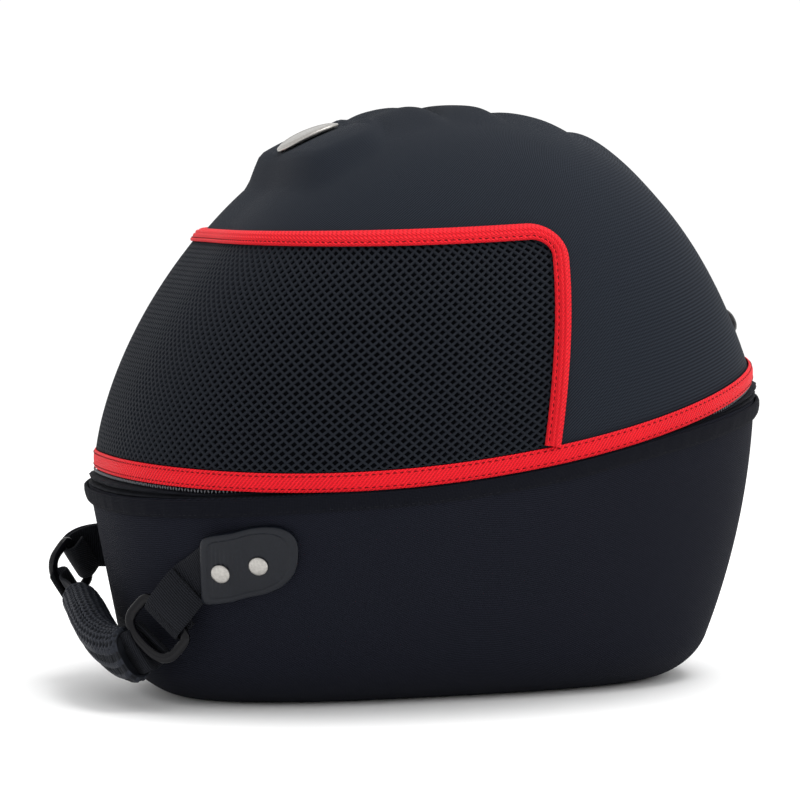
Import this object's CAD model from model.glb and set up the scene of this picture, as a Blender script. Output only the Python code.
"""Hard-shell carrying bag for a motorcycle helmet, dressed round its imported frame.

Sizes are in millimetres and in the CAD source's frame: -X is the front with the handle, and the
camera looks at the -Y side. Each mesh is brought to metres when its piece is finished.
"""
import math

import bmesh
import bpy
from mathutils import Matrix, Vector
from mathutils.geometry import interpolate_bezier


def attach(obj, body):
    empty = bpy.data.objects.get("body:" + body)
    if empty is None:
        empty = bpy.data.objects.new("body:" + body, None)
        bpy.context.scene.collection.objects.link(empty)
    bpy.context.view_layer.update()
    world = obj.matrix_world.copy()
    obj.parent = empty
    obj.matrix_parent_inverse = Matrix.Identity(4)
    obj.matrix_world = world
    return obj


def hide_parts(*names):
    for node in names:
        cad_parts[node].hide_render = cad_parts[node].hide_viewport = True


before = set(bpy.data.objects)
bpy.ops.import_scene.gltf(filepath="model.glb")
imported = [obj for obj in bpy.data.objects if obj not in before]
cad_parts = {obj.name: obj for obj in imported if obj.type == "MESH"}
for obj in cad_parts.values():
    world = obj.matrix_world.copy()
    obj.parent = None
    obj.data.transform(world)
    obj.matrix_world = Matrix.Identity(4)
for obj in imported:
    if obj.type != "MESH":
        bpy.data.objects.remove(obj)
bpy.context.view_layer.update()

# The tub: a deep half shell, moulded from foam board with a fine ribbed fabric laminated on it.
# It stands on its flat base, leans out towards the rim and has a wall of 4 mm. The rim rises
# towards the rear, along the same sweep as the red tape above it.
SHELL_WALL = 4.0
PLAN_SQUARENESS = 2.35
BASE_SQUARENESS = 2.8
BASE_CORNER_RADIUS = 24.0
REAR_WALL_CURVE = 2.0
TUB_RIM = {"front": 182.0, "rear": 195.5, "side": 140.0}
TUB_BASE = {"front": 160.0, "rear": 160.0, "side": 84.0}
LID_EDGE = {"front": 176.5, "rear": 192.0, "side": 139.0}
TAPE_TOP = {"front": 133.6, "middle": 138.5, "rear": 184.2}
TAPE_WIDTH = 10.0
TAPE_ON_SHELL = 4.0
SLIT_CLOSED = 0.6
SLIT_OPEN = {"front": 9.5, "rear": 12.0}
SLIT_STARTS = 75.0
SLIT_GROWTH = 1.6
FULL_TURN = 2 * math.pi


def mix(a, b, share):
    return a + (b - a) * share


def smoothstep(x, start, end):
    t = min(max((x - start) / (end - start), 0.0), 1.0)
    return t * t * (3 - 2 * t)


def tape_top(x):
    forward = (TAPE_TOP["front"] - TAPE_TOP["middle"]) / LID_EDGE["front"]
    rearward = (TAPE_TOP["rear"] - TAPE_TOP["middle"]) / LID_EDGE["rear"]
    bow = (forward + rearward) / (LID_EDGE["front"] + LID_EDGE["rear"])
    return TAPE_TOP["middle"] + (rearward - bow * LID_EDGE["rear"]) * x + bow * x * x


def lid_edge(x):
    return tape_top(x) - TAPE_ON_SHELL


def slit(x):
    end = "front" if x < 0 else "rear"
    share = (abs(x) - SLIT_STARTS) / (TUB_RIM[end] - SLIT_STARTS)
    return SLIT_CLOSED + SLIT_OPEN[end] * min(max(share, 0.0), 1.1) ** SLIT_GROWTH


def rim_top(x):
    return tape_top(x) - TAPE_WIDTH - slit(x)


def unit_plan(angle, squareness):
    c, s = math.cos(angle), math.sin(angle)
    radius = (abs(c) ** squareness + abs(s) ** squareness) ** (-1 / squareness)
    return c * radius, s * radius


def tub_point(level, angle, offset=0.0):
    u, v = unit_plan(angle, mix(BASE_SQUARENESS, PLAN_SQUARENESS, level))
    rear_share = 1 - math.copysign(abs(1 - level) ** REAR_WALL_CURVE, 1 - level)
    if u < 0:
        reach = mix(TUB_BASE["front"], TUB_RIM["front"], level)
    else:
        reach = mix(TUB_BASE["rear"], TUB_RIM["rear"], rear_share)
    side = mix(TUB_BASE["side"], TUB_RIM["side"], level)
    z = level * rim_top(reach * u)
    below = max(BASE_CORNER_RADIUS - z, 0.0)
    inset = BASE_CORNER_RADIUS - math.sqrt(max(BASE_CORNER_RADIUS ** 2 - below ** 2, 0.0))
    return Vector(((reach - inset + offset) * u, (side - inset + offset) * v, z))


def draped_grid(columns, rows, place, closed=False, raised=None):
    """A grid laid where place(across, up) says, with a UV map of its true lengths in millimetres.

    raised(across, up), from 0 to 1, is kept with it for a finish that shows a moulded pattern.
    """
    bm = bmesh.new()
    bmesh.ops.create_grid(bm, x_segments=columns, y_segments=rows, size=0.5)
    bm.verts.ensure_lookup_table()
    height = bm.verts.layers.float.new("raised") if raised else None
    for v in bm.verts:
        x, y = min(max(v.co.x + 0.5, 0.0), 1.0), min(max(v.co.y + 0.5, 0.0), 1.0)
        v.co = place(x, y)
        if raised:
            v[height] = raised(x, y)
    width = columns + 1
    across, up = [0.0] * len(bm.verts), [0.0] * len(bm.verts)
    middle = (rows // 2) * width
    for i in range(1, width):
        across[i] = across[i - 1] + (bm.verts[middle + i].co - bm.verts[middle + i - 1].co).length
    for i in range(width, len(bm.verts)):
        across[i] = across[i - width]
        up[i] = up[i - width] + (bm.verts[i].co - bm.verts[i - width].co).length
    pattern = bm.loops.layers.uv.new("pattern")
    for face in bm.faces:
        for loop in face.loops:
            loop[pattern].uv = across[loop.vert.index], up[loop.vert.index]
    if closed:
        bmesh.ops.remove_doubles(bm, verts=bm.verts, dist=1e-3)
    return bm


def finished(name, bm, material, slot, *nodes):
    """Bring a bmesh to metres and make it a smooth piece on the bag's one body."""
    bmesh.ops.recalc_face_normals(bm, faces=bm.faces)
    bmesh.ops.scale(bm, vec=(0.001, 0.001, 0.001), verts=bm.verts)
    mesh = bpy.data.meshes.new(name)
    bm.to_mesh(mesh)
    bm.free()
    mesh.shade_smooth()
    mesh.materials.append(material)
    piece = bpy.data.objects.new(name, mesh)
    bpy.context.scene.collection.objects.link(piece)
    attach(piece, "root")
    if nodes:
        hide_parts(*nodes)
    return piece


def walled(piece, thickness):
    """Give a sheet a wall on its inner side."""
    wall = piece.modifiers.new("wall", "SOLIDIFY")
    wall.thickness = thickness * 0.001
    wall.offset = -1
    wall.use_even_offset = True


def colour(red, green, blue):
    """Picture values from 0 to 255 as a linear colour."""
    def linear(c):
        c /= 255
        return c / 12.92 if c <= 0.04045 else ((c + 0.055) / 1.055) ** 2.4
    return linear(red), linear(green), linear(blue), 1.0


class Finish:
    """A material under construction: its shader, and nodes added one by one."""

    def __init__(self, name, roughness, metallic=0.0, sheen=0.0, coat=0.0, specular=0.5):
        self.material = bpy.data.materials.new(name)
        self.material.use_nodes = True
        self.tree = self.material.node_tree
        self.shader = self.tree.nodes["Principled BSDF"]
        self.shader.inputs["Roughness"].default_value = roughness
        self.shader.inputs["Metallic"].default_value = metallic
        self.shader.inputs["Sheen Weight"].default_value = sheen
        self.shader.inputs["Sheen Roughness"].default_value = 0.5
        self.shader.inputs["Coat Weight"].default_value = coat
        self.shader.inputs["Specular IOR Level"].default_value = specular
        self.where = self.tree.nodes.new("ShaderNodeTexCoord")

    def add(self, kind, settings=None, **sockets):
        node = self.tree.nodes.new("ShaderNode" + kind)
        for key, value in (settings or {}).items():
            setattr(node, key, value)
        for key, value in sockets.items():
            socket = node.inputs[int(key[1:])] if key[1:].isdigit() else node.inputs[key.replace("_", " ")]
            if isinstance(value, bpy.types.NodeSocket):
                self.tree.links.new(value, socket)
            else:
                socket.default_value = value
        return node.outputs[0]

    def lines(self, along, period, turn=0.0, space="UV", wobble=0.0, profile="SIN"):
        """Even lines across a direction of the map, a period apart, from 0 to 1."""
        turned = self.add("Mapping", Vector=self.where.outputs[space], Rotation=(0, 0, turn))
        scale = math.pi / (10 * period)
        return self.add(
            "TexWave",
            {"bands_direction": along, "wave_profile": profile},
            Vector=turned, Scale=scale, Distortion=wobble, Detail=1.0, Detail_Scale=0.3 / scale,
        )

    def noise(self, size, detail=3.0, space="Object"):
        return self.add("TexNoise", Vector=self.where.outputs[space], Scale=1 / size, Detail=detail)

    def blend(self, low, high, share):
        node = self.tree.nodes.new("ShaderNodeMix")
        node.data_type = "RGBA"
        for socket, value in ((node.inputs[0], share), (node.inputs[6], low), (node.inputs[7], high)):
            if isinstance(value, bpy.types.NodeSocket):
                self.tree.links.new(value, socket)
            else:
                socket.default_value = value
        return node.outputs[2]

    def maths(self, operation, a, b=0.0):
        return self.add("Math", {"operation": operation}, _0=a, _1=b)

    def relief(self, height, depth, under=None):
        sockets = {"Height": height, "Distance": depth, "Strength": 1.0}
        if under is not None:
            sockets["Normal"] = under
        return self.add("Bump", **sockets)

    def wear(self, base_colour=None, normal=None, roughness=None):
        for name, value in (("Base Color", base_colour), ("Normal", normal), ("Roughness", roughness)):
            if isinstance(value, bpy.types.NodeSocket):
                self.tree.links.new(value, self.shader.inputs[name])
            elif value is not None:
                self.shader.inputs[name].default_value = value
        return self.material


def ribbed_tub_fabric():
    cloth = Finish("tub_fabric", 0.85, sheen=0.01, specular=0.05)
    ribs = cloth.lines("Y", 1.15, wobble=0.6)
    threads = cloth.lines("X", 0.9, wobble=0.4)
    weave = cloth.maths("MULTIPLY", ribs, cloth.maths("ADD", cloth.maths("MULTIPLY", threads, 0.4), 0.6))
    tone = cloth.blend(colour(13, 14, 21), colour(29, 31, 40), weave)
    patchy = cloth.blend(tone, colour(20, 22, 30), cloth.maths("MULTIPLY", cloth.noise(0.05), 0.5))
    soft = cloth.relief(cloth.noise(0.03, detail=2.0), 0.0006)
    return cloth.wear(patchy, cloth.relief(weave, 0.00022, soft))


BASE_ROWS = 0.08
TUB_LEVEL_GROWTH = 1.6


def tub_place(around, up):
    if up < BASE_ROWS:
        rim = tub_point(0.0, around * FULL_TURN)
        return Vector((rim.x * up / BASE_ROWS, rim.y * up / BASE_ROWS, 0.0))
    level = ((up - BASE_ROWS) / (1 - BASE_ROWS)) ** TUB_LEVEL_GROWTH
    return tub_point(level, around * FULL_TURN)


tub = finished(
    "tub", draped_grid(240, 62, tub_place, closed=True), ribbed_tub_fabric(), "tub_fabric", "lower_shell"
)
walled(tub, SHELL_WALL)

# The rim binding: a strip of the same cloth over a soft filler, turned round the tub's rim and
# sewn down below it. It swells between its seam and the edge.
BINDING_HEIGHT = 10.0
BINDING_THICKNESS = 3.0
RIM_SEAM = {"above_edge": 1.9, "stand": 2.35}


def tub_ring(height, angle, offset):
    rim = tub_point(1.0, angle)
    point = tub_point(1 + min(height, 0.0) / rim.z, angle, offset)
    point.z = rim.z + height
    return point


def rim_binding_place(around, section):
    angle = around * FULL_TURN
    out, high = unit_plan(section * FULL_TURN, 2.6)
    puckers = 0.35 * math.sin(angle * 97) * math.sin(angle * 41 + 1.3)
    swell = BINDING_THICKNESS * (0.86 + 0.14 * high) + puckers * max(out, 0.0)
    height = -BINDING_HEIGHT / 2 + high * (BINDING_HEIGHT / 2 - 0.3)
    return tub_ring(height, angle, 0.3 + swell * (out + 1) / 2)


def binding_cloth():
    cloth = Finish("binding_cloth", 0.86, sheen=0.01, specular=0.05)
    weave = cloth.maths("MULTIPLY", cloth.lines("X", 0.8), cloth.lines("Y", 0.8))
    tone = cloth.blend(colour(10, 11, 17), colour(24, 26, 34), weave)
    soft = cloth.relief(cloth.noise(0.012, detail=2.0), 0.0012)
    return cloth.wear(tone, cloth.relief(weave, 0.0002, soft))


def copy_into(bm, pattern, matrices):
    """Add the pattern's mesh to a bmesh once for each matrix."""
    pattern.verts.index_update()
    for matrix in matrices:
        verts = [bm.verts.new(matrix @ v.co) for v in pattern.verts]
        for face in pattern.faces:
            bm.faces.new([verts[v.index] for v in face.verts])
    pattern.free()


def stitch_row(bm, places, length, thickness):
    """Sewn stitches: each place is a point, the way the seam runs and the way out of the cloth."""
    matrices = []
    for point, along, out in places:
        side = out.cross(along).normalized()
        turn = Matrix((along.normalized(), side, out.normalized())).transposed().to_4x4()
        size = Matrix.Diagonal((length / 2, thickness / 2, thickness / 2, 1.0))
        matrices.append(Matrix.Translation(point) @ turn @ size)
    stitch = bmesh.new()
    bmesh.ops.create_uvsphere(stitch, u_segments=6, v_segments=4, radius=1.0)
    copy_into(bm, stitch, matrices)


def seam_places(line, count, start=0.0, end=1.0):
    """Even places for stitches on a line(share) -> (point, outward)."""
    places = []
    for k in range(count):
        share = mix(start, end, (k + 0.5) / count)
        point, out = line(share)
        ahead = line(share + 1e-3)[0]
        places.append((point, ahead - point, out))
    return places


def thread(name, red, green, blue):
    twist = Finish(name, 0.7, sheen=0.02, specular=0.08)
    strands = twist.noise(0.0006, detail=2.0)
    tone = twist.blend(colour(red * 0.6, green * 0.6, blue * 0.6), colour(red, green, blue), strands)
    return twist.wear(tone, twist.relief(strands, 0.0001))


def rim_seam(share):
    angle = share * FULL_TURN
    height = RIM_SEAM["above_edge"] - BINDING_HEIGHT
    point = tub_ring(height, angle, RIM_SEAM["stand"])
    return point, point - tub_ring(height, angle, RIM_SEAM["stand"] - 1.0)


rim_binding = finished(
    "rim_binding_cloth", draped_grid(360, 20, rim_binding_place, closed=True), binding_cloth(),
    "black_binding", "rim_binding",
)
black_thread = thread("black_thread", 29, 30, 36)
rim_stitches = bmesh.new()
stitch_row(rim_stitches, seam_places(rim_seam, 300), 2.3, 0.45)
finished("rim_stitches", rim_stitches, black_thread, "black_binding")

# The lid: the second half shell, a dome over the helmet's crown in laminated cloth, which shows a
# fine twill at the front and fine level ribs at the rear. Its mould has four soft ribs across the
# crown and, in front of them, a raised boss that carries the badge.
CROWN_HEIGHT = 321.0
CROWN_SHIFT = 16.0
LID_FULLNESS = {"front": 1.9, "rear": 2.62, "side": 2.7}
LID_RISE = {"front": 1.6, "rear": 0.88, "side": 2.3}
RIB_EDGES = (-38.3, 4.5, 38.6, 80.7, 135.7)
RIB_HEIGHTS = (5.5, 4.5, 2.5, 5.5)
RIB_HALF_WIDTH = 60.0
RIB_FADE = 36.0
BOSS = {"x": -57.5, "length": 24.5, "width": 62.0, "front": 13.5, "rear": 4.5, "edge": 0.3}
BOSS_SQUARENESS = 4.0
SHOULDER_LEVEL = 0.72
SHOULDER_ROWS = 0.55
TWILL_ENDS = 0.04
TWILL_FADE = 1 / 12


def lid_exponents(angle):
    side = math.sin(angle) ** 2
    end = "rear" if math.cos(angle) > 0 else "front"
    return mix(LID_FULLNESS[end], LID_FULLNESS["side"], side), mix(LID_RISE[end], LID_RISE["side"], side)


def lid_radius(level, angle):
    fullness, rise = lid_exponents(angle)
    return max(1 - level ** rise, 0.0) ** (1 / fullness)


def rib_relief(x, y):
    for height, start, end in zip(RIB_HEIGHTS, RIB_EDGES, RIB_EDGES[1:]):
        if start <= x < end:
            round_top = 1 - abs((2 * x - start - end) / (end - start)) ** 3
            return height * round_top * smoothstep(RIB_HALF_WIDTH - abs(y), 0, RIB_FADE)
    return 0.0


def boss_relief(x, y):
    along = (x - BOSS["x"]) / BOSS["length"]
    across = abs(y / BOSS["width"])
    share = (abs(along) ** BOSS_SQUARENESS + across ** BOSS_SQUARENESS) ** (1 / BOSS_SQUARENESS)
    height = mix(BOSS["front"], BOSS["rear"], (min(max(along, -1.0), 1.0) + 1) / 2)
    return height * smoothstep(1 + BOSS["edge"] / 2 - share, 0, BOSS["edge"])


def lid_frame(radius, angle):
    """Smooth lid surface at a plan radius and angle: point and outward normal, without relief."""
    u, v = unit_plan(angle, PLAN_SQUARENESS)
    reach = LID_EDGE["front"] if u < 0 else LID_EDGE["rear"]
    fullness, rise = lid_exponents(angle)
    level = max(1 - radius ** fullness, 0.0) ** (1 / rise)
    x = reach * u * radius + CROWN_SHIFT * level
    edge = lid_edge(x)
    steep = fullness * radius ** (fullness - 1)
    normal = Vector((
        steep * math.copysign(abs(u) ** (PLAN_SQUARENESS - 1), u) / reach,
        steep * math.copysign(abs(v) ** (PLAN_SQUARENESS - 1), v) / LID_EDGE["side"],
        rise * max(level, 1e-6) ** (rise - 1) / (CROWN_HEIGHT - edge),
    )).normalized()
    return Vector((x, LID_EDGE["side"] * v * radius, mix(edge, CROWN_HEIGHT, level))), normal


def lid_skin(radius, angle, offset=0.0):
    point, normal = lid_frame(radius, angle)
    point.z += rib_relief(point.x, point.y) + boss_relief(point.x, point.y)
    return point + normal * offset, normal


def lid_place(around, up):
    angle = around * FULL_TURN
    if up < SHOULDER_ROWS:
        radius = lid_radius(SHOULDER_LEVEL * up / SHOULDER_ROWS, angle)
    else:
        radius = lid_radius(SHOULDER_LEVEL, angle) * (1 - up) / (1 - SHOULDER_ROWS)
    return lid_skin(radius, angle)[0]


def ribbed_lid_fabric():
    cloth = Finish("lid_fabric", 0.82, sheen=0.015, specular=0.06)
    ribs = cloth.lines("Y", 1.9, wobble=0.3)
    twill = cloth.lines("X", 1.3, turn=0.8, wobble=0.3)
    along = cloth.add("SeparateXYZ", Vector=cloth.where.outputs["Object"])
    rearward = cloth.maths("SUBTRACT", along, TWILL_ENDS)
    to_ribs = cloth.add("Math", {"operation": "MULTIPLY", "use_clamp": True}, _0=rearward, _1=1 / TWILL_FADE)
    weave = cloth.blend(twill, ribs, to_ribs)
    tone = cloth.blend(colour(16, 19, 25), colour(38, 43, 51), weave)
    mottled = cloth.blend(tone, colour(28, 32, 39), cloth.maths("MULTIPLY", cloth.noise(0.04), 0.6))
    soft = cloth.relief(cloth.noise(0.05, detail=1.0), 0.0008)
    return cloth.wear(mottled, cloth.relief(weave, 0.0002, soft))


lid = finished(
    "lid", draped_grid(240, 100, lid_place, closed=True), ribbed_lid_fabric(), "lid_fabric", "upper_shell"
)
walled(lid, SHELL_WALL)

# The red tape round the lid: woven tape folded over the shell's lower edge and sewn on with two
# rows of stitches in its own colour.
TAPE_THICKNESS = 1.6
TAPE_STAND = 0.9
STITCH_ROWS = (2.4, -4.2)


def lid_ring(height, angle, offset):
    u, v = unit_plan(angle, PLAN_SQUARENESS)
    reach = LID_EDGE["front"] if u < 0 else LID_EDGE["rear"]
    base = lid_edge(reach * u)
    radius = lid_radius(max(height, 0.0) / (CROWN_HEIGHT - base), angle)
    x = (reach * radius + offset) * u
    return Vector((x, (LID_EDGE["side"] * radius + offset) * v, base + height))


def lid_tape_place(around, section):
    out, high = unit_plan(section * FULL_TURN, 4.0)
    height = TAPE_ON_SHELL - TAPE_WIDTH / 2 + high * TAPE_WIDTH / 2
    groove = sum(math.exp(-((height - row) / 0.5) ** 2) for row in STITCH_ROWS)
    thickness = TAPE_THICKNESS * (1 - 0.12 * high * high) - 0.25 * groove * max(out, 0.0)
    return lid_ring(height, around * FULL_TURN, TAPE_STAND + thickness * (out + 1) / 2)


def woven_red():
    cloth = Finish("red_tape", 0.6, sheen=0.02, specular=0.12)
    twill = cloth.lines("X", 1.6, turn=0.75)
    cords = cloth.lines("Y", 1.0)
    weave = cloth.maths("ADD", cloth.maths("MULTIPLY", twill, 0.75), cloth.maths("MULTIPLY", cords, 0.25))
    tone = cloth.blend(colour(150, 6, 18), colour(240, 24, 40), weave)
    faded = cloth.blend(tone, colour(228, 18, 30), cloth.maths("MULTIPLY", cloth.noise(0.02), 0.5))
    return cloth.wear(faded, cloth.relief(weave, 0.0004))


def tape_seam(height):
    def line(share):
        angle = share * FULL_TURN
        point = lid_ring(height, angle, TAPE_STAND + TAPE_THICKNESS - 0.1)
        return point, point - lid_ring(height, angle, 0.0)
    return line


red_tape = woven_red()
finished(
    "lid_tape", draped_grid(480, 26, lid_tape_place, closed=True), red_tape, "red_tape", "lid_binding"
)
red_thread = thread("red_thread", 116, 4, 12)
tape_stitches = bmesh.new()
for row in STITCH_ROWS:
    stitch_row(tape_stitches, seam_places(tape_seam(row), 310), 2.3, 0.65)
finished("lid_tape_stitches", tape_stitches, red_thread, "red_tape")

# The zip: two cloth tapes sewn inside the shells, each with a soft piped roll that shows in the
# slit at both ends, and between them a coil of fine teeth, run shut by a slider on the far side.
ZIP_INSET = 4.9
ZIP_LAP = 8.0
ZIP_TAPE_THICKNESS = 1.2
ROLL_SWELL = 8.2
TAPE_DROP = TAPE_WIDTH - TAPE_ON_SHELL
LAP_ROWS = 0.15
ROLLS_MEET = 0.62
COIL_HIDDEN = 3.2
COIL_DROP = 4.6
COIL_BACK = {"closed": 3.2, "open": 0.4}
TOOTH_PITCH = 2.1
TOOTH_LENGTH = 2.2


def slit_share(angle):
    """How far the slit is open at an angle, from 0 at the sides."""
    u, _ = unit_plan(angle, PLAN_SQUARENESS)
    return (slit((TUB_RIM["front"] if u < 0 else TUB_RIM["rear"]) * u) - SLIT_CLOSED) / SLIT_OPEN["rear"]


def zip_line(angle, share, offset):
    """Between the lid's edge (share 0) and the tub's rim (share 1)."""
    return lid_ring(0.0, angle, offset).lerp(tub_ring(0.0, angle, offset), share)


def coil_share(angle):
    """The coil's place between them: just below the red tape where the slit is open."""
    gap = slit_share(angle) * SLIT_OPEN["rear"] + SLIT_CLOSED
    shown = smoothstep(gap, 1.0, 6.0)
    return (TAPE_DROP - COIL_HIDDEN + COIL_DROP * shown) / (TAPE_DROP + gap)


def coil_line(angle):
    shown = smoothstep(slit_share(angle), 0.1, 0.5)
    return zip_line(angle, coil_share(angle), -mix(COIL_BACK["closed"], COIL_BACK["open"], shown))


def zip_cloth_place(around, up):
    angle = around * FULL_TURN
    if up < LAP_ROWS:
        return tub_ring(-ZIP_LAP * (1 - up / LAP_ROWS), angle, -ZIP_INSET)
    if up > 1 - LAP_ROWS:
        return lid_ring(ZIP_LAP * (up - 1 + LAP_ROWS) / LAP_ROWS, angle, -ZIP_INSET)
    share = 1 - (up - LAP_ROWS) / (1 - 2 * LAP_ROWS)
    swell = ROLL_SWELL * slit_share(angle)
    top = coil_share(angle) + 0.06
    below = (share - top) / (1 - top)
    if below > ROLLS_MEET:
        roll = 0.8 * math.sin(math.pi * (below - ROLLS_MEET) / (1 - ROLLS_MEET))
    else:
        roll = math.sin(math.pi * max(below, 0.0) / ROLLS_MEET)
    creases = (0.5 * math.sin(below * 31) + 0.3 * math.sin(angle * 61 + 3 * share)) * swell / ROLL_SWELL
    return zip_line(angle, share, -ZIP_INSET + (swell + creases) * max(roll, 0.0) ** 0.7)


def zip_cloth():
    cloth = Finish("zip_fabric", 0.8, sheen=0.01, specular=0.08)
    weave = cloth.maths("MULTIPLY", cloth.lines("X", 0.7), cloth.lines("Y", 1.0))
    tone = cloth.blend(colour(12, 13, 18), colour(31, 33, 41), weave)
    return cloth.wear(tone, cloth.relief(weave, 0.00018, cloth.relief(cloth.noise(0.01), 0.0006)))


def coil_plastic():
    plastic = Finish("zip_coil", 0.35, specular=0.6)
    ends = plastic.noise(0.002)
    return plastic.wear(plastic.blend(colour(34, 35, 40), colour(96, 98, 104), ends), roughness=0.35)


zip_band = finished(
    "zip_cloth", draped_grid(360, 36, zip_cloth_place, closed=True), zip_cloth(), "zip_fabric", "zip_tape"
)
walled(zip_band, ZIP_TAPE_THICKNESS)

teeth = bmesh.new()
tooth_count = round(1030 / TOOTH_PITCH)
for k in range(tooth_count):
    turn_share = k / tooth_count
    seat = coil_line(turn_share * FULL_TURN)
    ahead = coil_line((turn_share + 1e-3) * FULL_TURN) - seat
    upward = Vector((0, 0, 1)) + ahead.normalized() * (0.35 if k % 2 else -0.35)
    outward = ahead.cross(Vector((0, 0, 1))).normalized()
    stitch_row(teeth, [(seat, upward, outward)], TOOTH_LENGTH, 1.0)
finished("zip_teeth", teeth, coil_plastic(), "zip_coil", "zip_chain")

# The slider, on the far side of the zip: a cast metal body that runs on the coil, with a flat
# pull hanging from its bridge.
SLIDER_ANGLE = math.radians(23)


def cast_metal():
    metal = Finish("slider_metal", 0.32, metallic=1.0)
    worn = metal.noise(0.004)
    tone = metal.blend(colour(58, 58, 62), colour(104, 104, 108), worn)
    return metal.wear(tone, metal.relief(worn, 0.0002))


def rounded_block(bm, seat, axes, size, edge):
    """A block with round edges, its sides along three axes."""
    turn = Matrix(axes).transposed().to_4x4()
    block = bmesh.new()
    bmesh.ops.create_cube(block, size=1.0, matrix=Matrix.Diagonal((*size, 1.0)))
    bmesh.ops.bevel(
        block, geom=block.edges[:], offset=edge, segments=3, profile=0.5, material=-1, affect="EDGES"
    )
    bmesh.ops.transform(block, matrix=Matrix.Translation(seat) @ turn, verts=block.verts)
    copy_into(bm, block, [Matrix.Identity(4)])


slider_metal = cast_metal()
slider_seat = zip_line(SLIDER_ANGLE, 0.4, -0.4)
slider_along = (zip_line(SLIDER_ANGLE + 1e-2, 0.4, -0.4) - slider_seat).normalized()
slider_out = slider_along.cross(Vector((0, 0, 1))).normalized()
slider_up = slider_out.cross(slider_along).normalized()
slider_axes = (slider_along, slider_up, slider_out)
slider = bmesh.new()
rounded_block(slider, slider_seat, slider_axes, (11.0, 6.4, 2.0), 0.8)
rounded_block(slider, slider_seat + slider_out * 1.9, slider_axes, (6.0, 2.2, 2.2), 0.9)
finished("zip_slider_body", slider, slider_metal, "zip_coil", "zip_slider")
pull = bmesh.new()
rounded_block(pull, slider_seat + slider_out * 3.4 - slider_up * 9.5, slider_axes, (6.5, 19.0, 1.4), 0.6)
finished("zip_pull", pull, slider_metal, "zip_coil")

# The mesh pocket: a panel of knitted spacer mesh, sewn to the lid's front from one side round to
# the other. Its face is a net of staggered holes over a dark backing.
POCKET_TOP_LEVEL = 0.66
POCKET_BASE = 4.3
POCKET_END_ANGLE = (79.5, 77.5)
POCKET_HEIGHT = POCKET_TOP_LEVEL * (CROWN_HEIGHT - TAPE_TOP["middle"])
POCKET_ROUND = 530.0
POCKET_STAND = 1.7
HOLE_PITCH = (4.9, 4.8)
STRAND = 0.55
MESH_DEPTH = 1.2
PANEL_TOP = 0.972
PANEL_CORNER = 18.0
PANEL_INSET = 3.2
PANEL_SLACK = 0.5


def pocket_skin(share, angle):
    point, _ = lid_frame(1.0, angle)
    low = POCKET_BASE / (CROWN_HEIGHT - point.z)
    return lid_skin(lid_radius(mix(low, POCKET_TOP_LEVEL, share), angle), angle)


def pocket_end(share):
    return math.radians(mix(*POCKET_END_ANGLE, share))


def mesh_place(x, y):
    """A point of the panel, x from one end to the other and y up, both as shares."""
    y *= PANEL_TOP
    drop = max(1.0 - (1.0 - y) * POCKET_HEIGHT / PANEL_CORNER, 0.0)
    rounded = PANEL_CORNER * (1.0 - math.sqrt(max(1.0 - drop * drop, 0.0)))
    end = pocket_end(y) + (PANEL_INSET + rounded) / LID_EDGE["side"]
    point, normal = pocket_skin(y, mix(end, FULL_TURN - end, x))
    slack = PANEL_SLACK * math.sin(math.pi * min(y / 0.9, 1.0)) * math.sin(math.pi * x) ** 0.5
    return point + normal * (POCKET_STAND + slack)


def spacer_mesh():
    net = Finish("mesh_fabric", 0.65, sheen=0.0, specular=0.08)
    threads = net.noise(0.0009, detail=4.0)
    tone = net.blend(colour(10, 12, 18), colour(32, 36, 43), threads)
    shaded = net.blend(tone, colour(22, 25, 31), net.maths("MULTIPLY", net.noise(0.03), 0.7))
    return net.wear(shaded, net.relief(threads, 0.0003))


def mesh_backing():
    cloth = Finish("mesh_backing", 0.9, specular=0.02)
    weave = cloth.noise(0.0006)
    return cloth.wear(cloth.blend(colour(3, 4, 6), colour(10, 11, 15), weave), cloth.relief(weave, 0.0002))


def past_panel(middle):
    """Whether a cell of the unit panel lies wholly past its edges."""
    return abs(middle.x) > 0.52 or abs(middle.y) > 0.56


net = bmesh.new()
net_cells = round(POCKET_ROUND / HOLE_PITCH[0] * 2) + 60
bmesh.ops.create_grid(net, x_segments=net_cells, y_segments=net_cells, size=net_cells / 2)
net_turn = Matrix.Rotation(math.pi / 4, 4, "Z")
net_size = Matrix.Diagonal((
    HOLE_PITCH[0] / math.sqrt(2) / POCKET_ROUND, HOLE_PITCH[1] / math.sqrt(2) / POCKET_HEIGHT, 1.0, 1.0,
))
bmesh.ops.transform(net, matrix=net_size @ net_turn, verts=net.verts)
far_off = [f for f in net.faces if past_panel(f.calc_center_median())]
bmesh.ops.delete(net, geom=far_off, context="FACES")
for way in ((1, 0, 0), (-1, 0, 0), (0, 1, 0), (0, -1, 0)):
    bmesh.ops.bisect_plane(
        net, geom=net.verts[:] + net.edges[:] + net.faces[:], plane_co=Vector(way) / 2, plane_no=way,
        clear_outer=True,
    )
for v in net.verts:
    v.co = mesh_place(min(max(v.co.x + 0.5, 0.0), 1.0), min(max(v.co.y + 0.5, 0.0), 1.0))
bmesh.ops.recalc_face_normals(net, faces=net.faces)
if max(net.faces, key=lambda f: f.calc_center_median().z).normal.z < 0:
    bmesh.ops.reverse_faces(net, faces=net.faces)
holes = net.faces[:]
bmesh.ops.inset_individual(net, faces=holes, thickness=STRAND, depth=0.0, use_even_offset=True)
bmesh.ops.inset_individual(net, faces=holes, thickness=0.22, depth=-MESH_DEPTH, use_even_offset=True)
for face in holes:
    face.material_index = 1
net_piece = finished("pocket_net", net, spacer_mesh(), "mesh_fabric", "mesh_pocket")
net_piece.data.materials.append(mesh_backing())

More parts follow.
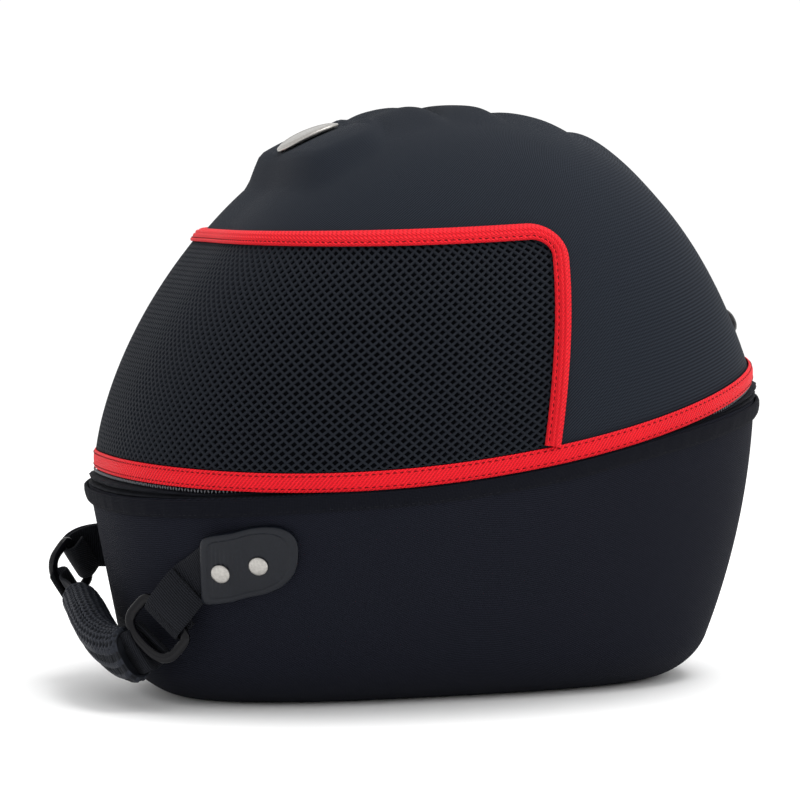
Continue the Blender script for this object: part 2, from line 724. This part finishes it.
# The pocket's red tape: up one end of the panel, round the corner, along the top and down the
# other end. It is folded over the mesh's raw edge and sewn along its inner side.
POCKET_TAPE_WIDTH = 10.2
TAPE_PAST_END = 2.4
TAPE_PAST_TOP = 1.6
POCKET_TAPE_RISE = 2.9
CORNER_RADIUS = 15.0
POCKET_SEAM = -0.62
TAPE_RIDGES = 4
TAPE_STEPS = 620


def tape_route(share):
    """The middle of the tape: share of the way -> skin point and normal."""
    inset = POCKET_TAPE_WIDTH / 2 - TAPE_PAST_END
    top = POCKET_HEIGHT - POCKET_TAPE_WIDTH / 2 + TAPE_PAST_TOP
    straight = top - CORNER_RADIUS
    bend = CORNER_RADIUS * math.pi / 2
    length = 2 * (straight + bend) + POCKET_ROUND - 2 * CORNER_RADIUS - 2 * inset
    way = min(share, 1 - share) * length
    if way < straight:
        x, y = inset, way
    elif way < straight + bend:
        turn = (way - straight) / CORNER_RADIUS
        x = inset + CORNER_RADIUS * (1 - math.cos(turn))
        y = straight + CORNER_RADIUS * math.sin(turn)
    else:
        x, y = inset + CORNER_RADIUS, top
    end = pocket_end(y / POCKET_HEIGHT) + x / LID_EDGE["side"]
    if way >= straight + bend:
        reach = length / 2 - straight - bend
        end = mix(end, math.pi, (way - straight - bend) / reach)
    return pocket_skin(y / POCKET_HEIGHT, end if share <= 0.5 else FULL_TURN - end)


def tape_frame(share):
    point, normal = tape_route(share)
    before, after = tape_route(max(share - 1e-3, 0.0))[0], tape_route(min(share + 1e-3, 1.0))[0]
    across = (after - before).cross(normal).normalized()
    return point, across, normal


tape_frames = [tape_frame(k / TAPE_STEPS) for k in range(TAPE_STEPS + 1)]
if (tape_frames[0][1]).dot(Vector((1, 0, 0))) < 0:
    tape_frames = [(point, -across, normal) for point, across, normal in tape_frames]


def tape_cover(out):
    """How high the tape's top lies above the skin at -1, its inner edge, to 1, its outer edge."""
    ridges = 0.45 * abs(math.sin(math.pi * TAPE_RIDGES * (out + 1) / 2))
    groove = 0.4 * math.exp(-((out - POCKET_SEAM) / 0.1) ** 2)
    return POCKET_TAPE_RISE + 0.75 - 1.6 * smoothstep(out, 0.2, 1.0) + ridges - groove


def pocket_tape_place(section, along):
    point, across, normal = tape_frames[round(along * TAPE_STEPS)]
    u, v = unit_plan(section * FULL_TURN, 3.4)
    cover = tape_cover(u)
    floor = POCKET_TAPE_RISE - 0.9 - 2.2 * smoothstep(u, -0.1, 0.8)
    rise = mix(floor, cover, (v + 1) / 2)
    return point + across * (u * POCKET_TAPE_WIDTH / 2) + normal * rise


finished(
    "pocket_tape", draped_grid(40, TAPE_STEPS, pocket_tape_place, closed=True), red_tape, "red_tape",
    "pocket_binding",
)
pocket_stitches = bmesh.new()
pocket_places = []
for k in range(2, TAPE_STEPS - 2, 3):
    point, across, normal = tape_frames[k]
    point_ahead, across_ahead, _ = tape_frames[k + 1]
    seat = point + across * (POCKET_SEAM * POCKET_TAPE_WIDTH / 2)
    ahead = point_ahead + across_ahead * (POCKET_SEAM * POCKET_TAPE_WIDTH / 2)
    pocket_places.append((seat + normal * (tape_cover(POCKET_SEAM) + 0.1), ahead - seat, normal))
stitch_row(pocket_stitches, pocket_places, 2.4, 0.6)
dark_red_thread = thread("dark_red_thread", 96, 6, 14)
finished("pocket_tape_stitches", pocket_stitches, dark_red_thread, "red_tape")

# The badge: a plain oval plate of cast, silver-coloured metal with a soft raised rim, pinned to
# the middle of the boss.
BADGE = {"x": -60.0, "length": 16.5, "width": 14.0, "rise": 0.9, "thickness": 2.0}


def lid_skin_at(x, y):
    plan_x = x
    for _ in range(5):
        u = plan_x / LID_EDGE["front" if plan_x < 0 else "rear"]
        v = y / LID_EDGE["side"]
        radius = (abs(u) ** PLAN_SQUARENESS + abs(v) ** PLAN_SQUARENESS) ** (1 / PLAN_SQUARENESS)
        point, normal = lid_skin(radius, math.atan2(v, u))
        plan_x += x - point.x
    return point, normal


def badge_place(around, up):
    """From the middle of the underside over the rim to the middle of the top."""
    turn = around * FULL_TURN
    if up < 0.3:
        share, rise = up / 0.3, 0.0
    elif up < 0.5:
        bend = (up - 0.3) / 0.2 * math.pi
        share, rise = 1.0 + 0.03 * math.sin(bend), (1 - math.cos(bend)) / 2
    else:
        share = 1 - (up - 0.5) / 0.5
        rise = 1.0 + 0.3 * math.exp(-((share - 0.86) / 0.07) ** 2) + 0.8 * (1 - share * share)
    point, normal = lid_skin_at(
        BADGE["x"] + BADGE["length"] * share * math.cos(turn), BADGE["width"] * share * math.sin(turn)
    )
    return point + normal * (BADGE["rise"] + BADGE["thickness"] * rise)


def cast_silver(name):
    metal = Finish(name, 0.33, metallic=1.0)
    scratches = metal.noise(0.0012, detail=5.0)
    tone = metal.blend(colour(136, 134, 130), colour(192, 189, 184), scratches)
    dull = metal.maths("ADD", metal.maths("MULTIPLY", metal.noise(0.004), 0.25), 0.22)
    return metal.wear(tone, metal.relief(scratches, 0.00012), dull)


pale_metal = cast_silver("badge_metal")
finished("badge_plate", draped_grid(72, 40, badge_place, closed=True), pale_metal, "pale_metal", "badge")

# The stud at the lid's rear: a round leather patch glued on the cloth, and on it a domed, glossy
# plastic stud.
STUD = {"angle": math.radians(-11), "above": 23.5, "radius": 8.0, "rise": 6.5, "patch": 15.5}


def patch_leather():
    leather = Finish("moulded_leather", 0.4, coat=0.04, specular=0.2)
    grain = leather.noise(0.0011, detail=4.0)
    tone = leather.blend(colour(7, 9, 14), colour(20, 24, 33), grain)
    shine = leather.maths("ADD", leather.maths("MULTIPLY", leather.noise(0.006), 0.2), 0.32)
    return leather.wear(tone, leather.relief(grain, 0.0002), shine)


def gloss_plastic():
    plastic = Finish("gloss_black", 0.24, coat=0.05, specular=0.14)
    moulded = plastic.noise(0.012)
    tone = plastic.blend(colour(7, 7, 10), colour(15, 15, 19), moulded)
    shine = plastic.maths("ADD", plastic.maths("MULTIPLY", moulded, 0.12), 0.14)
    return plastic.wear(tone, plastic.relief(plastic.noise(0.003), 0.00008), shine)


def turned(profile, seat, normal, steps=48):
    """A turned piece: its profile as radius and height, standing on a seat along a normal."""
    bm = bmesh.new()
    verts = [bm.verts.new((radius, 0.0, height)) for radius, height in profile]
    edges = [bm.edges.new(pair) for pair in zip(verts, verts[1:])]
    bmesh.ops.spin(
        bm, geom=verts + edges, axis=(0, 0, 1), cent=(0, 0, 0), steps=steps, angle=FULL_TURN, use_merge=True
    )
    bmesh.ops.remove_doubles(bm, verts=bm.verts, dist=1e-4)
    stand = Vector((0, 0, 1)).rotation_difference(normal).to_matrix().to_4x4()
    bmesh.ops.transform(bm, matrix=Matrix.Translation(seat) @ stand, verts=bm.verts)
    return bm


def dome(radius, rise, edge, steps=10):
    """A domed head's profile: flat underneath, a short upright edge, then a round top."""
    profile = [(0.0, 0.0), (radius * 0.94, 0.0), (radius, rise * 0.08)]
    for k in range(steps + 1):
        turn = k / steps * math.pi / 2
        profile.append((radius * math.cos(turn) if k < steps else 0.0, rise * mix(edge, 1.0, math.sin(turn))))
    return profile


stud_level = STUD["above"] / (CROWN_HEIGHT - TAPE_TOP["rear"])
leather = patch_leather()
gloss_black = gloss_plastic()


def stud_patch_place(around, up):
    turn = around * FULL_TURN
    if up < 0.25:
        share, rise = up / 0.25, 0.6
    elif up < 0.5:
        bend = (up - 0.25) / 0.25 * math.pi
        share, rise = 1.0 + 0.03 * math.sin(bend), 0.6 + 1.7 * (1 - math.cos(bend)) / 2
    else:
        share = 1 - (up - 0.5) / 0.5
        rise = 2.3 + 0.3 * math.exp(-((share - 0.85) / 0.08) ** 2)
    angle = STUD["angle"] + STUD["patch"] * share * math.cos(turn) / LID_EDGE["side"]
    level = stud_level + STUD["patch"] * share * math.sin(turn) / (CROWN_HEIGHT - TAPE_TOP["rear"])
    point, normal = lid_skin(lid_radius(level, angle), angle)
    return point + normal * rise


finished("stud_patch", draped_grid(64, 30, stud_patch_place, closed=True), leather, "tab_rubber", "stud_base")
stud_seat, stud_normal = lid_skin(lid_radius(stud_level, STUD["angle"]), STUD["angle"], 2.7)
finished(
    "stud_dome", turned(dome(STUD["radius"], STUD["rise"], 0.3), stud_seat, stud_normal), gloss_black,
    "gloss_black", "stud",
)

# The handle's tabs: moulded, leather-grained patches on the tub's front corners with a raised
# border and fine creases. Each is fixed with two rivets over the end of its webbing.
TAB = {"angle": 131.0, "level": 0.69, "length": 50.0, "width": 36.6, "tilt": 0.13, "thickness": 3.2}
TAB_ABOVE_RIVETS = 2.2
TAB_OVER_WEBBING = 4.1
TAB_ON_WALL = 0.6
TAB_SETTLES = (15.0, 27.0)
RIVET = {"radius": 5.2, "rise": 1.9, "edge": 0.35, "places": (11.5, 30.5)}


def tub_frame(level, angle):
    point = tub_point(level, angle)
    along = (tub_point(level, angle + 1e-3) - tub_point(level, angle - 1e-3)).normalized()
    up = (tub_point(level + 1e-3, angle) - tub_point(level - 1e-3, angle)).normalized()
    return point, along, up, along.cross(up).normalized()


def tab_skin(side, along, up):
    """A place on the wall below a tab: along from its front end, up from its middle line."""
    middle = math.radians(TAB["angle"])
    reach = math.hypot(TUB_RIM["front"] * math.sin(middle), TUB_RIM["side"] * math.cos(middle))
    from_middle = along - TAB["length"] / 2
    rise = (up + from_middle * TAB["tilt"]) / rim_top(-TUB_RIM["front"])
    return tub_frame(TAB["level"] + rise, side * (middle - from_middle / reach))


def tab_underside(side, along):
    return mix(TAB_OVER_WEBBING, TAB_ON_WALL, smoothstep(along, *TAB_SETTLES))


def tab_place(side):
    def place(around, up):
        u, v = unit_plan(around * FULL_TURN, 11.0 if math.cos(around * FULL_TURN) < 0 else 2.6)
        if up < 0.3:
            share, rise = up / 0.3, 0.0
        elif up < 0.45:
            bend = (up - 0.3) / 0.15 * math.pi / 2
            share, rise = 1.0, math.sin(bend) * 0.75
        else:
            share = 1 - (up - 0.45) / 0.55
            inner = (1 - share) * TAB["width"] / 2
            rise = 0.75 + 0.25 * min(inner / 1.2, 1.0) ** 0.5 - 0.3 * smoothstep(inner, 2.6, 3.6)
        along = TAB["length"] / 2 * (1 + u * share)
        creases = smoothstep(along, 1.0, 4.0) * (1 - smoothstep(along, 20.0, 24.0)) * (up > 0.5)
        crease = 0.22 * creases * math.sin(along * math.pi / 1.1) * smoothstep(1 - share, 0.14, 0.26)
        point, _, _, normal = tab_skin(side, along, TAB["width"] / 2 * v * share + TAB_ABOVE_RIVETS)
        return point + normal * (tab_underside(side, along) + TAB["thickness"] * rise + crease)
    return place


for name, side in (("near", -1), ("far", 1)):
    finished(
        "tab_patch_" + name, draped_grid(128, 90, tab_place(side), closed=True), leather, "tab_rubber",
        "tab_" + name,
    )

# The rivets: flat-domed heads of polished steel, two through each tab.
rivet_steel = cast_silver("rivet_steel")
for name, side in (("near", -1), ("far", 1)):
    for end, along in zip(("front", "rear"), RIVET["places"]):
        point, _, _, normal = tab_skin(side, along, 0.0)
        seat = point + normal * (tab_underside(side, along) + TAB["thickness"] * 0.74)
        head = turned(dome(RIVET["radius"], RIVET["rise"], RIVET["edge"]), seat, normal)
        place_name = "%s_%s" % (name, end)
        finished("rivet_head_" + place_name, head, rivet_steel, "pale_metal", "rivet_" + place_name)

# The D rings: flattened rods of black plastic, each hanging with its straight bar in a loop of
# the tab's webbing.
RINGS = {
    "near": {"bar": (-160.2, -71.8, 52.5), "across": (-0.56, 0.52, 0.65), "down": (-0.55, 0.35, -0.75)},
    "far": {"bar": (-178.0, 67.0, 69.0), "across": (-0.51, -0.48, 0.72), "down": (-0.64, -0.42, -0.64)},
}
RING = {"wire": 2.2, "width": 33.0, "depth": 21.0}


def ring_axes(name):
    ring = RINGS[name]
    across = Vector(ring["across"]).normalized()
    down = Vector(ring["down"])
    down = (down - across * down.dot(across)).normalized()
    normal = across.cross(down).normalized()
    return Vector(ring["bar"]), across, down, -normal if normal.x > 0 else normal


def ring_place(name):
    bar, across, down, normal = ring_axes(name)

    def middle(around):
        turn = around * FULL_TURN
        u, v = unit_plan(turn, 2.5 if math.sin(turn) > 0 else 6.0)
        return bar + down * (RING["depth"] / 2 * (1 + v)) + across * (u * RING["width"] / 2)

    def place(section, around):
        point = middle(around)
        along = (middle(around + 1e-3) - middle(around - 1e-3)).normalized()
        outward = along.cross(normal).normalized()
        u, v = unit_plan(section * FULL_TURN, 2.6)
        return point + outward * (2.8 * u) + normal * (2.2 * v)
    return place


for name in ("near", "far"):
    finished(
        "d_ring_" + name, draped_grid(20, 96, ring_place(name), closed=True), gloss_black, "gloss_black",
        "ring_" + name,
    )

# The webbing: flat woven nylon, 25 mm wide. One length runs from under each tab round the ring's
# bar and is folded back and sewn on itself.
WEBBING = {"width": 25.0, "thickness": 2.0}
EYE_PLAY = 1.7
EYE_RADIUS = RING["wire"] + EYE_PLAY + WEBBING["thickness"] / 2
STRAP_HIDDEN = (9.0, 4.0, -1.0, -6.0)
STRAP_SLOPE = 0.6
STRAP_OFF_WALL = 1.6
STRAP_TAIL = (3.0, 6.0)
LAP_RISE = 2.0


def eye(bar, across, normal, away, steps=8):
    """Webbing round a bar, half a turn from its outer side to its inner side."""
    stations = []
    for k in range(steps + 1):
        turn = k / steps * math.pi
        out = normal * math.cos(turn) + away * math.sin(turn)
        stations.append((bar + out * EYE_RADIUS, across, out))
    return stations


def eased(start, start_along, end, end_along, steps):
    """Stations between two others on a smooth curve."""
    reach = (end[0] - start[0]).length / 3
    curve = interpolate_bezier(
        start[0], start[0] + start_along * reach, end[0] - end_along * reach, end[0], steps + 1
    )
    stations = []
    for k in range(1, steps):
        along = (curve[k + 1] - curve[k - 1]).normalized()
        across = start[1].lerp(end[1], k / steps)
        across = (across - along * across.dot(along)).normalized()
        normal = along.cross(across).normalized()
        stations.append((curve[k], across, normal if normal.dot(start[2]) > 0 else -normal))
    return stations


def tab_strap(name, side):
    bar, across, down, normal = ring_axes(name)
    loop = eye(bar, across, normal, down)
    point, along, up, _ = tab_skin(side, 0.0, 0.0)
    to_bar = bar - point
    slope = STRAP_SLOPE * math.atan2(-to_bar.dot(up), to_bar.dot(along) * side)
    hidden = []
    for inside in STRAP_HIDDEN:
        point, along, up, out = tab_skin(side, inside * math.cos(slope), inside * math.sin(slope))
        forward = along * side
        hidden.append((point + out * STRAP_OFF_WALL, up * math.cos(slope) + forward * math.sin(slope), out))
    leaving = forward * math.cos(slope) - up * math.sin(slope)
    bend = eased(hidden[-1], leaving, loop[0], down, 10)
    inner, _, inward = loop[-1]
    tail = [(inner - down * reach, across, inward) for reach in STRAP_TAIL]
    return hidden, bend, loop + tail


def woven_webbing():
    nylon = Finish("webbing", 0.7, sheen=0.01, specular=0.1)
    picks = nylon.lines("Y", 1.25)
    ends = nylon.lines("X", 1.0)
    weave = nylon.maths("MULTIPLY", picks, nylon.maths("ADD", nylon.maths("MULTIPLY", ends, 0.5), 0.5))
    tone = nylon.blend(colour(8, 9, 13), colour(35, 37, 43), weave)
    return nylon.wear(tone, nylon.relief(weave, 0.00035))


def strap(name, stations, material, *nodes, steps=4, thickness=2.0):
    """A length of webbing through its stations, closed at both ends."""
    fine = []
    for k in range(len(stations) - 1):
        a, b, c, d = (stations[min(max(k + j, 0), len(stations) - 1)] for j in (-1, 0, 1, 2))
        curve = smooth_piece(a[0], b[0], c[0], d[0], steps)
        for j in range(steps):
            share = j / steps
            fine.append((curve[j], b[1].lerp(c[1], share).normalized(), b[2].lerp(c[2], share).normalized()))
    fine.append(stations[-1])
    rows = len(fine) + 1

    def place(section, along):
        k = round(along * rows)
        point, across, normal = fine[min(max(k - 1, 0), len(fine) - 1)]
        u, v = unit_plan(section * FULL_TURN, 5.0)
        closing = 0.0 if k in (0, rows) else 1.0
        edge = 1.0 + 0.12 * smoothstep(abs(u), 0.8, 0.95)
        width = WEBBING["width"] / 2 * (1 if closing else 0.9)
        return point + across * (u * width) + normal * (v * closing * edge * thickness / 2)
    return finished(name, draped_grid(40, rows, place, closed=True), material, "webbing", *nodes)


def smooth_piece(before, start, end, after, steps):
    """The part of a smooth line from start to end, past the points before and after it."""
    length = (end - start).length
    lead = (start - before).length or length
    trail = (after - end).length or length
    leaving = ((start - before) * (length / lead) + (end - start) * (lead / length)).normalized()
    coming = ((end - start) * (trail / length) + (after - end) * (length / trail)).normalized()
    return interpolate_bezier(start, start + leaving * length / 3, end - coming * length / 3, end, steps + 1)


nylon = woven_webbing()
for name, side in (("near", -1), ("far", 1)):
    hidden, bend, loop = tab_strap(name, side)
    strap("strap_" + name, hidden + bend + loop, nylon, "tab_strap_" + name)
    lap = [(point + normal * LAP_RISE, across, normal) for point, across, normal in bend[1:] + loop[:1]]
    strap("strap_lap_" + name, lap, nylon, thickness=1.8)
    sewn = bmesh.new()
    for row in (0, 1):
        point, across, normal = lap[0]
        point = point.lerp(lap[1][0], 0.45 + 0.8 * row)
        places = [
            (point + across * (0.44 * WEBBING["width"] * (2 * k / 8 - 1)) + normal * 0.95, across, normal)
            for k in range(9)
        ]
        stitch_row(sewn, places, 2.0, 0.5)
    finished("strap_stitches_" + name, sewn, black_thread, "webbing")

# The handle's webbing: one length from ring to ring through the grip, looped round both rings.
GRIP_ROUTE = [
    (-174.4, -64.3, 33.5), (-177.0, -59.5, 31.0), (-180.0, -51.0, 30.5), (-184.5, -34.0, 33.5),
    (-186.5, -10.0, 41.0), (-184.5, 18.0, 45.5), (-184.5, 44.0, 50.0), (-187.5, 51.2, 52.8),
]
ROUTE_STEPS = 240
SLOT_BAR_BEHIND = 5.6


def even_route():
    """Places at even lengths along the smooth line through the route's points."""
    points = [Vector(p) for p in GRIP_ROUTE]
    dense = []
    for k in range(len(points) - 1):
        a, d = points[max(k - 1, 0)], points[min(k + 2, len(points) - 1)]
        dense += smooth_piece(a, points[k], points[k + 1], d, 40)[:-1]
    dense.append(points[-1])
    run = [0.0]
    for a, b in zip(dense, dense[1:]):
        run.append(run[-1] + (b - a).length)
    even, k = [], 0
    for step in range(ROUTE_STEPS + 1):
        want = run[-1] * step / ROUTE_STEPS
        while k < len(run) - 2 and run[k + 1] < want:
            k += 1
        even.append(dense[k].lerp(dense[k + 1], (want - run[k]) / (run[k + 1] - run[k])))
    return even, run[-1]


route, route_length = even_route()
near_across, far_across = ring_axes("near")[1], ring_axes("far")[1]


def route_station(share):
    k = round(share * ROUTE_STEPS)
    along = (route[min(k + 1, ROUTE_STEPS)] - route[max(k - 1, 0)]).normalized()
    across = near_across.lerp(far_across, share)
    across = (across - along * across.dot(along)).normalized()
    return route[k], across, along.cross(across).normalized()


def loose_eye(name, station):
    """The loop round a ring's lower bar, the way the webbing leaves it."""
    bar, across, down, out = ring_axes(name)
    bar = bar + down * RING["depth"] - out * SLOT_BAR_BEHIND
    leaving = (station[0] - bar).normalized()
    normal = across.cross(leaving).normalized()
    return eye(bar, across, normal if normal.dot(station[2]) > 0 else -normal, -leaving)


inner_stations = [route_station(k / 16) for k in range(17)]
handle = loose_eye("near", inner_stations[0])[::-1] + inner_stations + loose_eye("far", inner_stations[-1])
strap("handle_webbing", handle, nylon, "handle_strap")

# The grip: a soft moulded rubber sleeve on the webbing. The side to the tub is pitted with small
# staggered holes, the outer side has raised ribs with fine teeth between them, and both ends are
# hollow.
GRIP = {"width": 15.5, "thickness": 10.0, "squareness": 2.4, "ends": (0.035, 0.77)}
PIT_PITCH = 4.0
TOOTH_STEP = 2.3
PATTERN_RELIEF = 1.3
GRIP_GIRTH = 82.0
GRIP_RIB_PITCH = 6.8
GRIP_END_ROWS = 0.06
GRIP_RUN = 0.9 * route_length


def grip_pattern(around, run):
    """The moulded pattern from 0 to 1 at a turn round the grip and a length along it."""
    girth = around * GRIP_GIRTH
    if math.cos(around * FULL_TURN - 0.87) > -0.3:
        shift = (round(girth / PIT_PITCH) % 2) * PIT_PITCH / 2
        across = math.cos(FULL_TURN * girth / PIT_PITCH)
        along = math.cos(FULL_TURN * (run + shift) / PIT_PITCH)
        return 1.0 - smoothstep(across + along, -0.3, 1.1)
    ribs = math.cos(FULL_TURN * girth / GRIP_RIB_PITCH)
    teeth = 0.5 + 0.5 * math.cos(FULL_TURN * run / TOOTH_STEP)
    return 1.0 if ribs > 0.2 else 0.6 * teeth


def grip_raised(around, up):
    share = min(max((up - GRIP_END_ROWS) / (1 - 2 * GRIP_END_ROWS), 0.0), 1.0)
    return grip_pattern(around, share * GRIP_RUN) if 0.0 < share < 1.0 else 0.2


def grip_place(around, up):
    if up < GRIP_END_ROWS:
        inside, share = up / GRIP_END_ROWS, GRIP_END_ROWS - up
    elif up > 1 - GRIP_END_ROWS:
        inside, share = (1 - up) / GRIP_END_ROWS, 2 - GRIP_END_ROWS - up
    else:
        inside, share = None, (up - GRIP_END_ROWS) / (1 - 2 * GRIP_END_ROWS)
    point, across, normal = route_station(mix(*GRIP["ends"], share))
    u, v = unit_plan(around * FULL_TURN, GRIP["squareness"])
    if inside is not None:
        size = 0.78 * min(inside / 0.55, 1.0) if inside < 0.9 else mix(0.78, 0.93, (inside - 0.9) / 0.1)
        return point + across * (u * GRIP["width"] * size) + normal * (v * GRIP["thickness"] * size)
    lip = smoothstep(min(share, 1 - share), 0.0, 0.025)
    relief = PATTERN_RELIEF * grip_pattern(around, share * GRIP_RUN) * lip
    size = 0.88 + 0.04 * lip
    out = across * (u * GRIP["width"]) + normal * (v * GRIP["thickness"])
    return point + out * size + out.normalized() * relief


def moulded_rubber():
    rubber = Finish("grip_rubber", 0.6, specular=0.15)
    grain = rubber.noise(0.0008)
    raised = rubber.add("Attribute", {"attribute_name": "raised"})
    tone = rubber.blend(colour(16, 18, 24), colour(42, 45, 53), grain)
    worn = rubber.blend(colour(2, 3, 5), tone, rubber.tree.nodes["Attribute"].outputs["Fac"])
    dusty = rubber.blend(worn, colour(48, 52, 60), rubber.maths("MULTIPLY", rubber.noise(0.01), 0.2))
    return rubber.wear(dusty, rubber.relief(grain, 0.00012))


grip = finished(
    "grip_sleeve", draped_grid(168, 280, grip_place, closed=True, raised=grip_raised), moulded_rubber(),
    "grip_foam", "grip",
)

# The studio: a pale floor that runs on into the backdrop, a large soft light above, one from the
# viewer's left and a weaker one from the right.
floor_mesh = bmesh.new()
bmesh.ops.create_grid(floor_mesh, x_segments=1, y_segments=1, size=6.0)
floor_data = bpy.data.meshes.new("floor")
floor_mesh.to_mesh(floor_data)
floor_mesh.free()
floor = bpy.data.objects.new("floor", floor_data)
bpy.context.scene.collection.objects.link(floor)
paper = Finish("paper", 0.9, specular=0.1)
paper_tone = paper.blend(colour(249, 249, 249), colour(254, 254, 254), paper.noise(0.4))
floor_data.materials.append(paper.wear(paper_tone))


def soft_light(name, place, size, power, aim=(0.0, 0.0, 0.16)):
    lamp = bpy.data.lights.new(name, "AREA")
    lamp.shape = "DISK"
    lamp.size = size
    lamp.energy = power
    light = bpy.data.objects.new(name, lamp)
    light.location = place
    light.rotation_euler = (Vector(aim) - Vector(place)).to_track_quat("-Z", "Y").to_euler()
    bpy.context.scene.collection.objects.link(light)


soft_light("top_light", (0.45, -0.2, 2.0), 1.6, 30)
soft_light("left_light", (-1.9, -1.3, 1.0), 1.2, 1.5)
soft_light("right_light", (1.9, -1.0, 1.2), 1.2, 5)
world = bpy.data.worlds.new("studio")
world.use_nodes = True
world.node_tree.nodes["Background"].inputs["Color"].default_value = (1.0, 1.0, 1.0, 1.0)
world.node_tree.nodes["Background"].inputs["Strength"].default_value = 1.04
bpy.context.scene.world = world
bpy.context.scene.view_settings.view_transform = "Standard"

camera_data = bpy.data.cameras.new("camera")
camera_data.lens = 143.4
camera_data.sensor_width = 36.0
camera = bpy.data.objects.new("camera", camera_data)
camera.location = (-0.5621, -1.7078, 0.2851)
camera_aim = Vector((-0.0072, 0.0, 0.1595)) - camera.location
camera.rotation_euler = camera_aim.to_track_quat("-Z", "Y").to_euler()
bpy.context.scene.collection.objects.link(camera)
bpy.context.scene.camera = camera
